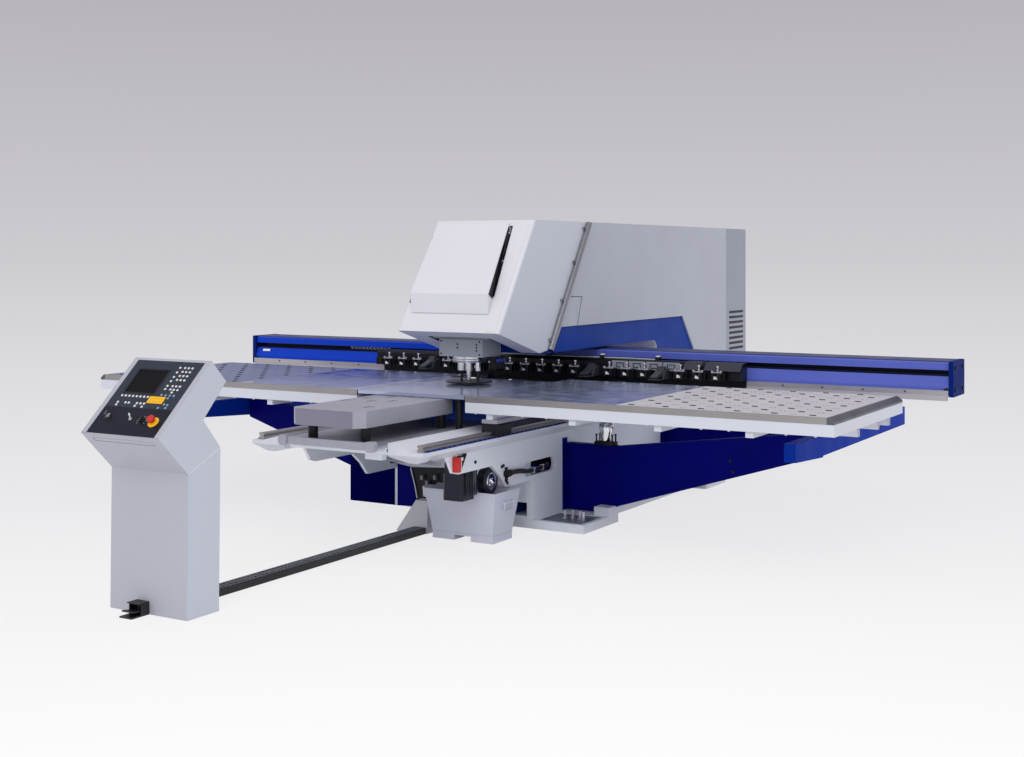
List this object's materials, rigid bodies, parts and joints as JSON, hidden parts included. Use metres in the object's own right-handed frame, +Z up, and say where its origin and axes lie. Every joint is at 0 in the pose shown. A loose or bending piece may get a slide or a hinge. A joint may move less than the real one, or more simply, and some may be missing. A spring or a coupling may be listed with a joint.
{
  "type": "cnc punch press",
  "caption": "Numerically controlled sheet metal punch press with a C-shaped frame, moving table, linear tool magazine on a cross rail, slanted head hood and a separate operator console.",
  "frame": {"origin": "on the floor, directly below the punch axis, on the underside of the base plate", "axes": "+X to the right along the cross rail as the operator faces the machine, +Y from the operator to the back, +Z up"},
  "size_m": [6.366, 7.86, 2.1904],
  "materials": {
    "frame_white": "smooth off-white paint",
    "cover_white": "smooth pale grey-white paint",
    "deep_blue": "satin deep blue paint",
    "rail_blue": "satin mid blue paint",
    "band_blue": "satin blue paint",
    "table_steel": "polished sheet steel",
    "plate_steel": "ground steel",
    "strip_steel": "ground steel strip",
    "bright_steel": "bright turned steel",
    "casting_grey": "grey painted casting",
    "black_metal": "black oxide",
    "trim_alu": "satin anodised",
    "brush_black": "dark nylon bristle",
    "hose_black": "ribbed black hose",
    "line_pale": "pale service hose",
    "console_grey": "fine textured paint",
    "panel_grey": "matte panel lacquer",
    "screen_glass": "dark gloss",
    "key_white": "moulded",
    "signal_yellow": "moulded",
    "signal_red": "moulded",
    "black_plastic": "moulded",
    "bin_grey": "folded sheet paint"
  },
  "bodies": {
    "machine_frame": {"base_plates": "frame_white", "body_covers": "cover_white", "c_frame": "band_blue", "cable_tray": "black_plastic", "centre_table": "table_steel", "console_housing": "console_grey", "console_panel": "panel_grey", "cover_trim": "trim_alu", "die_holder": "plate_steel", "drive_unit": "black_metal", "estop_ring": "signal_yellow", "feed_hose": "hose_black", "filter_unit": "bright_steel", "foot_switch": "black_plastic", "front_cross_member": "frame_white", "guide_beams": "frame_white", "guide_rails": "strip_steel", "head_casting": "casting_grey", "hood": "cover_white", "keys": "key_white", "lateral_beams": "deep_blue", "loading_plate": "plate_steel", "lower_frame": "frame_white", "nose_fittings": "casting_grey", "outriggers": "deep_blue", "platform": "plate_steel", "platform_posts": "black_metal", "power_box": "rail_blue", "rear_cabinet": "cover_white", "scrap_bin": "bin_grey", "screen": "screen_glass"},
    "cross_slide": {"bearing_blocks": "black_metal", "brush_inserts": "brush_black", "brush_tables": "table_steel", "cross_rail": "rail_blue", "cross_tubes": "frame_white", "ground_strips": "strip_steel", "rail_end_caps": "deep_blue", "slide_beams": "plate_steel", "table_plates": "table_steel", "wing_frames": "frame_white"},
    "rear_door": {"cabinet_door": "cover_white"},
    "tool_carriage": {"carriage_beam": "black_metal", "carriage_lines": "line_pale", "cassettes": "black_metal", "clamp_bodies": "casting_grey", "cover_sheets": "casting_grey", "tools": "bright_steel"},
    "jaw_left": {"clamp_jaw_left": "casting_grey"},
    "jaw_middle": {"clamp_jaw_middle": "casting_grey"},
    "jaw_right": {"clamp_jaw_right": "casting_grey"},
    "die_insert": {"die": "bright_steel"},
    "stop_button": {"estop_button": "signal_red"},
    "pedal": {"foot_pedal": "black_plastic"},
    "lid": {"head_lid": "cover_white"},
    "key": {"key_switch": "bright_steel"},
    "ram": {"punch_ram": "bright_steel"},
    "selector": {"selector_knob": "black_plastic"},
    "stripper_plate": {"stripper": "black_metal"},
    "rotor": {"tool_rotor": "bright_steel"}
  },
  "joints": [
    {"name": "table_travel", "type": "slide", "parent": "machine_frame", "child": "cross_slide", "axis": [0, 1, 0], "range_m": [-0.75, 0.75]},
    {"name": "carriage_travel", "type": "slide", "parent": "cross_slide", "child": "tool_carriage", "axis": [1, 0, 0], "range_m": [-1.45, 1.45]},
    {"name": "jaw_left_pivot", "type": "hinge", "parent": "tool_carriage", "child": "jaw_left", "pos_m": [-1.05, 1.074, 1.036], "axis": [-1, 0, 0], "range_deg": [-3, 15]},
    {"name": "jaw_middle_pivot", "type": "hinge", "parent": "tool_carriage", "child": "jaw_middle", "pos_m": [0.45, 1.074, 1.036], "axis": [-1, 0, 0], "range_deg": [-3, 15]},
    {"name": "jaw_right_pivot", "type": "hinge", "parent": "tool_carriage", "child": "jaw_right", "pos_m": [1.05, 1.074, 1.036], "axis": [-1, 0, 0], "range_deg": [-3, 15]},
    {"name": "rotor_turn", "type": "hinge", "parent": "machine_frame", "child": "rotor", "pos_m": [0, 0, 1.18], "axis": [0, 0, 1], "continuous": true},
    {"name": "die_turn", "type": "hinge", "parent": "machine_frame", "child": "die_insert", "pos_m": [0, 0, 0.97], "axis": [0, 0, 1], "continuous": true},
    {"name": "ram_stroke", "type": "slide", "parent": "rotor", "child": "ram", "axis": [0, 0, -1], "range_m": [0, 0.028]},
    {"name": "stripper_stroke", "type": "slide", "parent": "rotor", "child": "stripper_plate", "axis": [0, 0, -1], "range_m": [0, 0.012]},
    {"name": "lid_hinge", "type": "hinge", "parent": "machine_frame", "child": "lid", "pos_m": [-0.403, -0.30506, 1.38322], "axis": [0, -0.5365, -0.8439], "range_deg": [0, 110]},
    {"name": "rear_door_hinge", "type": "hinge", "parent": "machine_frame", "child": "rear_door", "pos_m": [-0.43, 4.456, 1.16], "axis": [0, 0, 1], "range_deg": [0, 110]},
    {"name": "stop_press", "type": "slide", "parent": "machine_frame", "child": "stop_button", "axis": [0, 0.6886, -0.7251], "range_m": [0, 0.005]},
    {"name": "key_turn", "type": "hinge", "parent": "machine_frame", "child": "key", "pos_m": [-0.1853, -3.31608, 1.06449], "axis": [0, 0.6886, -0.7251], "range_deg": [0, 90]},
    {"name": "selector_turn", "type": "hinge", "parent": "machine_frame", "child": "selector", "pos_m": [0.0693, -3.32624, 1.05485], "axis": [0, 0.6886, -0.7251], "range_deg": [-60, 60]},
    {"name": "pedal_press", "type": "hinge", "parent": "machine_frame", "child": "pedal", "pos_m": [-0.052, -3.226, 0.02], "axis": [1, 0, 0], "range_deg": [0, 8], "stiffness_Nm_per_rad": 4, "springref_deg": -6.88}
  ],
  "couplings": [
    {"joint": "die_turn", "follows": "rotor_turn", "ratio": 1}
  ]
}
